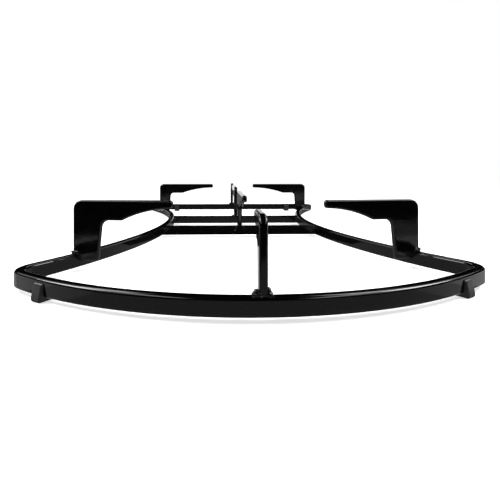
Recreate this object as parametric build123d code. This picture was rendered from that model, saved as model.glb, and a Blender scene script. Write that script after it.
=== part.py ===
from build123d import *
import math
import os

os.makedirs("parts", exist_ok=True)

# Pan support of a gas hob, for two burners one behind the other. A flat steel bar on edge is bent to an
# hourglass loop with a bowed front, two straight crossbars tie its waist, and eight finger plates stand on
# the bars and carry the pan. All of it is welded and enamelled. Four rubber boots on the loop are its feet.
# +X is to the right, +Y to the back of the hob and +Z up. The origin is on the hob's top, under the middle.

# Bar of the loop and the crossbars, stood on edge
bar_height = 8.9
bar_thickness = 6.0
bar_edge_radius = 1.4

# The loop in plan: reaches are from the middle of its waist, radii are of its outer faces
waist_inner_width = 146.5
side_bend_radius = 359.0
front_bend_radius = 214.0
front_reach = 250.5
rear_reach = 207.0
corner_radius = 16.0
crossbar_span = 87.5

# Burners: from the loop's front or rear to each burner's middle, and the room that the finger tips leave
front_burner_setback = 76.5
front_burner_room = 100.0
rear_burner_setback = 57.0
rear_burner_room = 61.0

# Places of the side fingers along the loop, from its front or rear
front_side_finger_setback = 89.5
rear_side_finger_setback = 55.0

# Finger plates: heights are above the bar, and the leg's tab hangs down the bar's inner face
plate_thickness = 4.0
plate_edge_radius = 1.3
finger_rise = 35.5
arm_depth = 13.5
arm_flat_share = 0.28
tip_height = 5.4
long_leg_width = 17.0
long_leg_flare = 2.6
rear_leg_width = 15.0
rear_leg_flare = 1.6
short_leg_width = 9.0
short_leg_flare = 1.2
leg_setback = 1.2
tab_drop = 4.7
heel_radius = 6.0
tip_radius = 2.0
long_armpit_radius = 5.0
short_armpit_radius = 3.0
toe_radius = 1.5

# Short beads of weld along each finger's seat or down its tab, and up the corners at the crossbars' ends
finger_weld_radius = 2.0
crossbar_weld_radius = 1.9
crossbar_weld_height = 5.4
weld_end_radius = 1.2
weld_stand_out = 0.2
weld_hairline = 0.02

# Rubber boots pushed up over the loop, their walls thinning upwards to a lip
foot_length = 7.4
foot_wall = 2.4
foot_lip = 0.9
foot_sole = 2.3
foot_cover = 7.0
foot_edge_radius = 1.1
front_foot_offset = 108.5
rear_foot_offset = 92.0

# Places that follow from those sizes, with the waist's middle at zero and the bar's bottom at height zero
finger_top = bar_height + finger_rise
side_centre_x = waist_inner_width / 2 + bar_thickness + side_bend_radius
front_centre_y = front_bend_radius - front_reach
crossbar_y = (crossbar_span - bar_thickness) / 2
front_burner = (Vector(0, front_burner_setback - front_reach), front_burner_room)
rear_burner = (Vector(0, rear_reach - rear_burner_setback), rear_burner_room)
bead_reach = plate_thickness / 2 + weld_stand_out + finger_weld_radius
long_leg = (long_leg_width, long_leg_flare, long_armpit_radius)
rear_leg = (rear_leg_width, rear_leg_flare, long_armpit_radius)
short_leg = (short_leg_width, short_leg_flare, short_armpit_radius)
to_origin = Pos(0, (front_reach - rear_reach - foot_wall) / 2, foot_sole)


def loop_outline(inset):
    """The loop's plan, a given way in from its outer faces, with its four corners rounded."""
    bow_radius = front_bend_radius - inset
    back_y = rear_reach - inset
    plan = Pos(0, front_centre_y) * Circle(bow_radius)
    plan += Pos(0, (front_centre_y + back_y) / 2) * Rectangle(2 * bow_radius, back_y - front_centre_y)
    plan -= Pos(0, back_y + bow_radius) * Rectangle(2 * bow_radius, 2 * bow_radius)
    for side in (-1, 1):
        plan -= Pos(side * side_centre_x, 0) * Circle(side_bend_radius + inset)
    plan = fillet(plan.vertices().sort_by(Axis.Y)[:2], corner_radius - inset)
    return fillet(plan.vertices().sort_by(Axis.Y)[-2:], corner_radius - inset)


def side_point(side, y, inset=0):
    """The point on a side bar at a place along the loop, a given way in from its outer face."""
    return Vector(side * (side_centre_x - math.sqrt((side_bend_radius + inset) ** 2 - y**2)), y)


def make_band(thickness):
    """The loop's bar with square edges, at a given thickness in from its outer faces."""
    return extrude(loop_outline(0) - loop_outline(thickness), bar_height)


def make_loop():
    """The bent outer bar, with its long edges rounded."""
    bar = make_band(bar_thickness)
    rims = bar.faces().filter_by(Axis.Z).edges()
    return fillet(rims, bar_edge_radius)


def make_plate(length, leg_width, leg_flare, armpit_radius):
    """A finger plate standing along +X from its outer edge at x = 0, its leg not yet notched."""
    tab_end = bar_height - tab_drop
    under_arm = finger_top - arm_depth
    under_tip = finger_top - tip_height
    knee = leg_width + leg_flare
    flat_end = knee + arm_flat_share * (length - knee)
    straight = Polyline(
        (flat_end, under_arm),
        (knee, under_arm),
        (leg_width, tab_end),
        (0, tab_end),
        (0, finger_top),
        (length, finger_top),
        (length, under_tip),
    )
    arch = TangentArc((length, under_tip), (flat_end, under_arm), tangent=(-1, 0))
    face = make_face(straight.edges() + arch.edges())
    for corner, radius in (
        ((0, finger_top), heel_radius),
        ((length, finger_top), tip_radius),
        ((length, under_tip), tip_radius),
        ((knee, under_arm), armpit_radius),
        ((leg_width, tab_end), toe_radius),
    ):
        face = fillet(face.vertices().sort_by_distance(Vector(*corner))[0], radius)
    plate = extrude(face, plate_thickness / 2, both=True)
    plate = fillet(plate.faces().filter_by(Axis.Z).edges(), plate_edge_radius)
    return Rot(90, 0, 0) * plate


def make_bead(radius, length, place, joined):
    """A bead of weld with rounded ends, along the place's Z, less the pieces that it joins."""
    bead = Cylinder(radius, length)
    bead = place * fillet(bead.edges().filter_by(GeomType.CIRCLE), weld_end_radius)
    for piece in joined:
        bead -= piece
    return bead.solids().sort_by(SortBy.VOLUME)[-1]


def make_crossbar(y, loop):
    """A straight bar across the waist, cut to the side bars' inner faces and beaded up the corners."""
    reach = side_point(1, y, bar_thickness / 2).X
    bar = Pos(0, y, bar_height / 2) * Box(2 * reach, bar_thickness, bar_height)
    bar = fillet(bar.edges().filter_by(Axis.X), bar_edge_radius) - loop
    welded = bar.solids().sort_by(SortBy.VOLUME)[-1]
    bead_stop = make_band(bar_thickness + weld_hairline)
    for side in (-1, 1):
        for out in (-1, 1):
            corner = side_point(side, y + out * bar_thickness / 2, bar_thickness)
            axis = Pos(corner.X - side * weld_stand_out, corner.Y + out * weld_stand_out, bar_height / 2)
            welded += make_bead(crossbar_weld_radius, crossbar_weld_height, axis, (bar, bead_stop))
    return welded.solids().sort_by(SortBy.VOLUME)[-1]


def make_finger(foot, burner, carrier, leg, tab_welds=False):
    """A finger from a point on its carrier's outer face towards its burner, a bead of weld on each side."""
    middle, room = burner
    towards = (middle - foot).normalized()
    heel = foot + towards * leg_setback
    length = (middle - heel).length - room / 2
    place = Pos(heel) * Rot(0, 0, math.degrees(math.atan2(towards.Y, towards.X)))
    plate = place * make_plate(length, *leg) - carrier
    finger = plate.solids().sort_by(SortBy.VOLUME)[-1]
    seat = bar_thickness - leg_setback
    block = Box(bar_thickness, 2 * bead_reach, bar_height)
    block = place * Pos(seat - bar_thickness / 2, 0, bar_height / 2) * block
    for side in (-1, 1):
        beside = side * (plate_thickness / 2 + weld_stand_out)
        if tab_welds:
            bead_length = tab_drop - bar_edge_radius
            bead_place = place * Pos(seat, beside, bar_height - (tab_drop + bar_edge_radius) / 2)
        else:
            bead_length = seat
            bead_place = place * Pos(seat / 2, beside, bar_height) * Rot(0, 90, 0)
        finger += make_bead(finger_weld_radius, bead_length, bead_place, (plate, block))
    return finger.solids().sort_by(SortBy.VOLUME)[-1]


def make_foot(x, y, heading, loop):
    """A rubber boot round the loop's outer face, bottom and inner face, open at the top."""
    half_bar = bar_thickness / 2
    section = Polyline(
        (-half_bar - foot_lip, foot_cover),
        (half_bar + foot_lip, foot_cover),
        (half_bar + foot_wall, 0),
        (half_bar + foot_wall, -foot_sole),
        (-half_bar - foot_wall, -foot_sole),
        (-half_bar - foot_wall, 0),
        close=True,
    )
    boot = extrude(Plane.YZ * make_face(section), foot_length / 2, both=True)
    boot = fillet(boot.edges(), foot_edge_radius)
    return Pos(x, y) * Rot(0, 0, heading) * boot - loop


loop = make_loop()
front_crossbar = make_crossbar(-crossbar_y, loop)
rear_crossbar = make_crossbar(crossbar_y, loop)
pieces = {"outer_frame": loop, "front_crossbar": front_crossbar, "rear_crossbar": rear_crossbar}

# Fingers: the four of each burner point at its middle
inner_face_y = crossbar_y - bar_thickness / 2
for name, y, burner, carrier, leg in (
    ("front_burner_front", -front_reach, front_burner, loop, short_leg),
    ("front_burner_rear", -inner_face_y, front_burner, front_crossbar, long_leg),
    ("rear_burner_front", inner_face_y, rear_burner, rear_crossbar, long_leg),
    ("rear_burner_rear", rear_reach, rear_burner, loop, short_leg),
):
    pieces[f"{name}_finger"] = make_finger(Vector(0, y), burner, carrier, leg, carrier is not loop)
for side, name in ((-1, "left"), (1, "right")):
    front_foot = side_point(side, front_side_finger_setback - front_reach)
    rear_foot = side_point(side, rear_reach - rear_side_finger_setback)
    pieces[f"front_burner_{name}_finger"] = make_finger(front_foot, front_burner, loop, long_leg)
    pieces[f"rear_burner_{name}_finger"] = make_finger(rear_foot, rear_burner, loop, rear_leg)

# Feet: two on the bowed front bar, turned to follow it, and two on the straight rear bar
front_middle_radius = front_bend_radius - bar_thickness / 2
foot_turn = math.degrees(math.asin(front_foot_offset / front_middle_radius))
front_foot_y = front_centre_y - front_middle_radius * math.cos(math.radians(foot_turn))
rear_foot_y = rear_reach - bar_thickness / 2
for side, name in ((-1, "left"), (1, "right")):
    pieces[f"front_{name}_foot"] = make_foot(side * front_foot_offset, front_foot_y, side * foot_turn, loop)
    pieces[f"rear_{name}_foot"] = make_foot(side * rear_foot_offset, rear_foot_y, 0, loop)

for name, piece in pieces.items():
    export_step(to_origin * piece, f"parts/{name}.step")
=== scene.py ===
import math
import random

import bmesh
import bpy
from mathutils import Matrix, Vector, noise


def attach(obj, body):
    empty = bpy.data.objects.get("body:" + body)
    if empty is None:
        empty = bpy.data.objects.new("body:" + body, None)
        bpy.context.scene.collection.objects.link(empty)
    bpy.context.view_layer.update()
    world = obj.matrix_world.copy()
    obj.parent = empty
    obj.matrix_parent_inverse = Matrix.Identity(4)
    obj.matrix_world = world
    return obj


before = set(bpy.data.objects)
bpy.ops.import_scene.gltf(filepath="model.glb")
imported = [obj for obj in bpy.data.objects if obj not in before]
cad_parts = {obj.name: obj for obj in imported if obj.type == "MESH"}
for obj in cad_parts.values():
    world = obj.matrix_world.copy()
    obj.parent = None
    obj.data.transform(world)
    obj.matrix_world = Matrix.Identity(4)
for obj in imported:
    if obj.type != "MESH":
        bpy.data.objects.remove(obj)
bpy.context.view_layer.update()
scene = bpy.context.scene
scene.view_settings.view_transform = "Standard"


# Node helpers

def new_material(name):
    """A new material, with its node tree and its main shader."""
    material = bpy.data.materials.new(name)
    material.use_nodes = True
    tree = material.node_tree
    return material, tree, tree.nodes["Principled BSDF"]


def add_noise(tree, coords, scale, detail, roughness=0.5):
    texture = tree.nodes.new("ShaderNodeTexNoise")
    texture.inputs["Scale"].default_value = scale
    texture.inputs["Detail"].default_value = detail
    texture.inputs["Roughness"].default_value = roughness
    tree.links.new(coords, texture.inputs["Vector"])
    return texture.outputs["Fac"]


def map_range(tree, value, low, high, from_low=0.0, from_high=1.0):
    node = tree.nodes.new("ShaderNodeMapRange")
    node.inputs["From Min"].default_value = from_low
    node.inputs["From Max"].default_value = from_high
    node.inputs["To Min"].default_value = low
    node.inputs["To Max"].default_value = high
    tree.links.new(value, node.inputs["Value"])
    return node.outputs["Result"]


def add_bump(tree, height, distance, strength, under=None):
    """A bump in metres, on top of another one where that is given."""
    bump = tree.nodes.new("ShaderNodeBump")
    bump.inputs["Strength"].default_value = strength
    bump.inputs["Distance"].default_value = distance
    tree.links.new(height, bump.inputs["Height"])
    if under is not None:
        tree.links.new(under, bump.inputs["Normal"])
    return bump.outputs["Normal"]


def mix_colours(tree, factor, first, second):
    mix = tree.nodes.new("ShaderNodeMix")
    mix.data_type = "RGBA"
    mix.inputs["A"].default_value = (*first, 1.0)
    mix.inputs["B"].default_value = (*second, 1.0)
    tree.links.new(factor, mix.inputs["Factor"])
    return mix.outputs["Result"]


def object_coords(tree):
    return tree.nodes.new("ShaderNodeTexCoord").outputs["Object"]


# Materials

def make_enamel():
    """Gloss black vitreous enamel: a soft orange peel, and pinhole specks in the glass."""
    material, tree, shader = new_material("enamel")
    coords = object_coords(tree)
    peel = add_noise(tree, coords, scale=420.0, detail=2.0)
    wave = add_noise(tree, coords, scale=60.0, detail=1.0)
    mottle = add_noise(tree, coords, scale=1500.0, detail=3.0, roughness=0.6)
    black = (0.0012, 0.0012, 0.0013)
    speck = (0.004, 0.004, 0.0045)
    speck_share = map_range(tree, mottle, low=0.0, high=1.0, from_low=0.55, from_high=0.8)
    tree.links.new(mix_colours(tree, speck_share, black, speck), shader.inputs["Base Color"])
    roughness = map_range(tree, wave, low=0.05, high=0.11, from_low=0.3, from_high=0.7)
    tree.links.new(roughness, shader.inputs["Roughness"])
    shader.inputs["IOR"].default_value = 1.5
    slow = add_bump(tree, wave, distance=0.0012, strength=0.1)
    fine = add_bump(tree, peel, distance=0.00022, strength=0.15, under=slow)
    tree.links.new(fine, shader.inputs["Normal"])
    return material


def make_rubber():
    """Dark moulded rubber, satin with a fine grain and a little dust."""
    material, tree, shader = new_material("boot_rubber")
    coords = object_coords(tree)
    grain = add_noise(tree, coords, scale=2600.0, detail=3.0, roughness=0.6)
    dust = add_noise(tree, coords, scale=240.0, detail=3.0)
    clean = (0.012, 0.012, 0.0125)
    dusty = (0.02, 0.02, 0.021)
    dust_share = map_range(tree, dust, low=0.0, high=1.0, from_low=0.35, from_high=0.7)
    tree.links.new(mix_colours(tree, dust_share, clean, dusty), shader.inputs["Base Color"])
    tree.links.new(map_range(tree, grain, low=0.28, high=0.4), shader.inputs["Roughness"])
    shader.inputs["IOR"].default_value = 1.5
    tree.links.new(add_bump(tree, grain, distance=0.0001, strength=0.4), shader.inputs["Normal"])
    return material


enamel = make_enamel()
rubber = make_rubber()
for name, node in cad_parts.items():
    node.data.materials.clear()
    node.data.materials.append(rubber if name.endswith("foot") else enamel)
    for face in node.data.polygons:
        face.use_smooth = True


# Weld spatter: small lumps along each bead, where the fingers stand on their bars. Lengths are in metres,
# and a pair of numbers is a range that chance draws from.

bar_top = max(vertex.co.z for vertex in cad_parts["outer_frame"].data.vertices)
crossbar_fingers = ("front_burner_rear_finger", "rear_burner_front_finger")
arm_top_band = 0.0005
tab_below_bar_top = 0.0025
seat_length = 0.0048
bead_radius = 0.0020
lumps_per_bead = 6
lump_radii = (0.0007, 0.0013)
degrees_round_bead = (5.0, 75.0)
lumps_before_heel = 5
heel_lump_radii = (0.0006, 0.0009)
heel_lump_insets = (0.0003, 0.0006)
heel_lump_drops = (0.0, 0.0005)
places_in_step = (0.2, 0.8)
squashes = (0.8, 1.2)
unevenness = 0.0003
unevenness_scale = 1400.0
chance = random.Random(4)
noise.seed_set(4)


def mean_point(points):
    return sum(points, Vector((0, 0))) / len(points)


def finger_axes(node):
    """A finger's heel in plan, its way to the tip, its way across and half its plate's thickness."""
    points = [node.matrix_world @ vertex.co for vertex in node.data.vertices]
    top = max(point.z for point in points)
    arm = [point.xy for point in points if point.z > top - arm_top_band]
    tab = [point.xy for point in points if point.z < bar_top - tab_below_bar_top]
    middle = mean_point(arm)
    along = (middle - mean_point(tab)).normalized()
    across = Vector((-along.y, along.x))
    reach = min((point.xy - middle).dot(along) for point in points)
    half = max(abs((point - middle).dot(across)) for point in arm)
    return middle + reach * along, along, across, half


def finger_spots(name, node):
    """Places and radii of a finger's lumps: on its two beads, which run along its seat or down its tab
    on a crossbar, and before its heel where it stands on the loop."""
    heel, along, across, half = finger_axes(node)
    on_crossbar = name in crossbar_fingers
    up = Vector((0.0, 0.0, 1.0))
    ahead = along.to_3d()
    run, rise = (-up, ahead) if on_crossbar else (ahead, up)
    start = heel.to_3d() + bar_top * up
    if on_crossbar:
        start += seat_length * ahead
    spots = []
    for side in (-1, 1):
        for step in range(lumps_per_bead):
            share = (step + chance.uniform(*places_in_step)) / lumps_per_bead
            turn = math.radians(chance.uniform(*degrees_round_bead))
            aside = side * (half + bead_radius * math.cos(turn))
            place = start + share * seat_length * run + aside * across.to_3d()
            place += bead_radius * math.sin(turn) * rise
            spots.append((place, chance.uniform(*lump_radii)))
    if not on_crossbar:
        for step in range(lumps_before_heel):
            share = (step + chance.uniform(*places_in_step)) / lumps_before_heel
            aside = (half + bead_radius) * (2.0 * share - 1.0)
            place = start + chance.uniform(*heel_lump_insets) * ahead + aside * across.to_3d()
            place -= chance.uniform(*heel_lump_drops) * up
            spots.append((place, chance.uniform(*heel_lump_radii)))
    return spots


def make_lumps(name, spots):
    """One mesh of small uneven lumps, from a list of places and radii."""
    mesh = bpy.data.meshes.new(name)
    shape = bmesh.new()
    for place, radius in spots:
        radii = [radius * chance.uniform(*squashes) for _ in range(3)]
        matrix = Matrix.LocRotScale(place, None, radii)
        bmesh.ops.create_icosphere(shape, subdivisions=3, radius=1.0, matrix=matrix)
    for vertex in shape.verts:
        vertex.co += unevenness * noise.noise_vector(unevenness_scale * vertex.co)
    shape.to_mesh(mesh)
    shape.free()
    for face in mesh.polygons:
        face.use_smooth = True
    mesh.materials.append(enamel)
    lumps = bpy.data.objects.new(name, mesh)
    scene.collection.objects.link(lumps)
    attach(lumps, "root")


for name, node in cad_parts.items():
    if name.endswith("finger"):
        make_lumps(f"{name}_weld_lumps", finger_spots(name, node))


# Studio: a white world and floor, and two soft boxes

white = (1.0, 1.0, 1.0, 1.0)
world_light = 0.45
floor_white = (0.9, 0.9, 0.9, 1.0)
floor_lift = 0.6
floor_reach = 30.0
box_reach = 0.55
box_size = 0.36
box_power = 5.0


def light_path_share(tree):
    """1 for rays from the camera, off gloss and through glass, 0 for the rays that light surfaces."""
    path = tree.nodes.new("ShaderNodeLightPath")
    share = path.outputs["Is Camera Ray"]
    for kind in ("Is Glossy Ray", "Is Transmission Ray"):
        most = tree.nodes.new("ShaderNodeMath")
        most.operation = "MAXIMUM"
        tree.links.new(share, most.inputs[0])
        tree.links.new(path.outputs[kind], most.inputs[1])
        share = most.outputs["Value"]
    return share


def make_world():
    """A world that looks white and lights less."""
    world = bpy.data.worlds.new("white_studio")
    world.use_nodes = True
    tree = world.node_tree
    background = tree.nodes["Background"]
    background.inputs["Color"].default_value = white
    strength = map_range(tree, light_path_share(tree), world_light, 1.0)
    tree.links.new(strength, background.inputs["Strength"])
    scene.world = world


def rectangle(x0, y0, x1, y1):
    return [(x0, y0), (x1, y0), (x1, y1), (x0, y1)]


def at_height(plan, z):
    return [(x, y, z) for x, y in plan]


def make_plane(name, corners, material):
    mesh = bpy.data.meshes.new(name)
    mesh.from_pydata(corners, [], [tuple(range(len(corners)))])
    mesh.materials.append(material)
    plane = bpy.data.objects.new(name, mesh)
    scene.collection.objects.link(plane)
    return plane


def make_floor():
    """A matt floor that takes shadows, lifted to white where it is seen."""
    material, tree, shader = new_material("white_floor")
    shader.inputs["Base Color"].default_value = floor_white
    shader.inputs["Roughness"].default_value = 1.0
    shader.inputs["Specular IOR Level"].default_value = 0.0
    shader.inputs["Emission Color"].default_value = white
    lift = map_range(tree, light_path_share(tree), 0.0, floor_lift)
    tree.links.new(lift, shader.inputs["Emission Strength"])
    plan = rectangle(-floor_reach, -floor_reach, floor_reach, floor_reach)
    make_plane("floor", at_height(plan, 0.0), material)


def make_soft_box(name, x):
    """A square lamp up at one side, turned to the origin."""
    light = bpy.data.lights.new(name, "AREA")
    light.shape = "RECTANGLE"
    light.size = box_size
    light.size_y = box_size
    light.energy = box_power
    lamp = bpy.data.objects.new(name, light)
    lamp.location = (x, -0.1, box_reach)
    lamp.rotation_euler = (-lamp.location).to_track_quat("-Z", "Y").to_euler()
    scene.collection.objects.link(lamp)


# Cards of the studio: the gloss shows them and nothing else does. Each has a plan, a height and a grey, from
# black at 0 to brighter than white. Where cards overlap, the gloss shows the upper one of those on the floor
# and the lower one of those overhead.

card_step = 0.0006
ceiling_z = 0.62
wing_z = 0.6
strip_z = 0.58
studio_side = 6.0
studio_front = -1.2
ceiling_back = 4.4
rear_flag_back = 9.0


def make_flag(name, corners, grey):
    material, _, shader = new_material(name)
    shader.inputs["Base Color"].default_value = (0.0, 0.0, 0.0, 1.0)
    shader.inputs["Specular IOR Level"].default_value = 0.0
    shader.inputs["Emission Color"].default_value = white
    shader.inputs["Emission Strength"].default_value = grey
    flag = make_plane(name, corners, material)
    flag.visible_camera = False
    flag.visible_diffuse = False
    flag.visible_shadow = False
    flag.visible_transmission = False


def front_burner_plan():
    """The ground that the loop holds round the front burner: its right side, its bow and its left side."""
    bow_radius = 0.206
    bow_centre_y = -0.0166
    bow_half_turn = 36.0
    bow_step = 6.0
    right_side = [(0.074, -0.02), (0.082, -0.06), (0.112, -0.13)]
    bow = []
    for step in range(13):
        turn = math.radians(bow_half_turn - bow_step * step)
        bow.append((bow_radius * math.sin(turn), bow_centre_y - bow_radius * math.cos(turn)))
    left_side = [(-x, y) for x, y in reversed(right_side)]
    return right_side + bow + left_side


# The ground under and before the front half, stepped back at the left so that the left leg stays dark
grey_plan = [
    (-0.3, -0.254),
    (-0.066, -0.254),
    (-0.045, -0.335),
    (0.3, -0.335),
    (0.3, 0.065),
    (-0.3, 0.065),
]

# Cards on the floor, with their heights counted in steps
floor_cards = (
    ("black_card", rectangle(-3.0, -3.0, 3.0, -0.2), 0.5, 0.0),
    ("grey_card", grey_plan, 1.0, 0.25),
    ("front_burner_card", front_burner_plan(), 2.0, 0.32),
    ("centre_card", rectangle(-0.045, -0.2, 0.045, -0.02), 3.0, 0.75),
    ("crossbar_card", rectangle(-0.076, -0.08, 0.076, -0.02), 4.0, 0.02),
    ("rear_card", rectangle(-0.15, 0.065, 0.15, 0.9), 1.0, 0.14),
    ("left_card", rectangle(-0.6, -0.05, -0.15, 0.6), 2.0, 0.12),
    ("right_card", rectangle(0.15, -0.05, 0.6, 0.6), 2.0, 0.12),
    ("left_boot_card", rectangle(-0.126, -0.236, -0.1, -0.2), 2.5, 0.38),
    ("right_boot_card", rectangle(0.1, -0.26, 0.126, -0.2), 2.5, 0.38),
    ("left_corner_card", rectangle(-0.32, -0.24, -0.126, -0.1), 3.0, 0.55),
    ("right_corner_card", rectangle(0.126, -0.24, 0.32, -0.1), 3.0, 0.62),
)

# Black ceiling, longer at the sides than in the middle
left_rear_plan = [
    (-studio_side, ceiling_back),
    (-0.45, ceiling_back),
    (-0.9, rear_flag_back),
    (-studio_side, rear_flag_back),
]
right_rear_plan = [
    (0.8, ceiling_back),
    (studio_side, ceiling_back),
    (studio_side, rear_flag_back),
    (1.6, rear_flag_back),
]

# Cards overhead: the ceiling, a light wing at each side and a bright strip under each wing
overhead_cards = (
    ("ceiling_flag", rectangle(-studio_side, studio_front, studio_side, ceiling_back), ceiling_z, 0.0),
    ("left_rear_flag", left_rear_plan, ceiling_z, 0.0),
    ("right_rear_flag", right_rear_plan, ceiling_z, 0.0),
    ("left_wing", rectangle(-1.2, -0.9, -0.27, 0.9), wing_z, 0.8),
    ("right_wing", rectangle(0.27, -0.9, 1.2, 0.9), wing_z, 0.8),
    ("left_strip", rectangle(-0.5, -0.9, -0.33, 0.9), strip_z, 3.6),
    ("right_strip", rectangle(0.33, -0.9, 0.5, 0.9), strip_z, 3.6),
)

# Black card upright behind the camera, from the floor to the ceiling
front_corners = [
    (-studio_side, studio_front, 0.0),
    (studio_side, studio_front, 0.0),
    (studio_side, studio_front, ceiling_z),
    (-studio_side, studio_front, ceiling_z),
]

make_world()
make_floor()
for name, plan, steps, grey in floor_cards:
    make_flag(name, at_height(plan, steps * card_step), grey)
for name, plan, height, grey in overhead_cards:
    make_flag(name, at_height(plan, height), grey)
make_flag("front_flag", front_corners, 0.0)
make_soft_box("left_box", -box_reach)
make_soft_box("right_box", box_reach)


# Camera: low before the front bar, with its frame shifted down and to the right

camera_data = bpy.data.cameras.new("camera")
camera_data.sensor_width = 36.0
camera_data.lens = 25.92
camera_data.shift_x = 0.0372
camera_data.shift_y = -0.156
camera_data.clip_start = 0.01
camera = bpy.data.objects.new("camera", camera_data)
camera.location = (-0.0186, -0.38345, 0.0652)
camera.rotation_euler = (math.radians(90.0), 0.0, math.radians(-1.7))
scene.collection.objects.link(camera)
scene.camera = camera
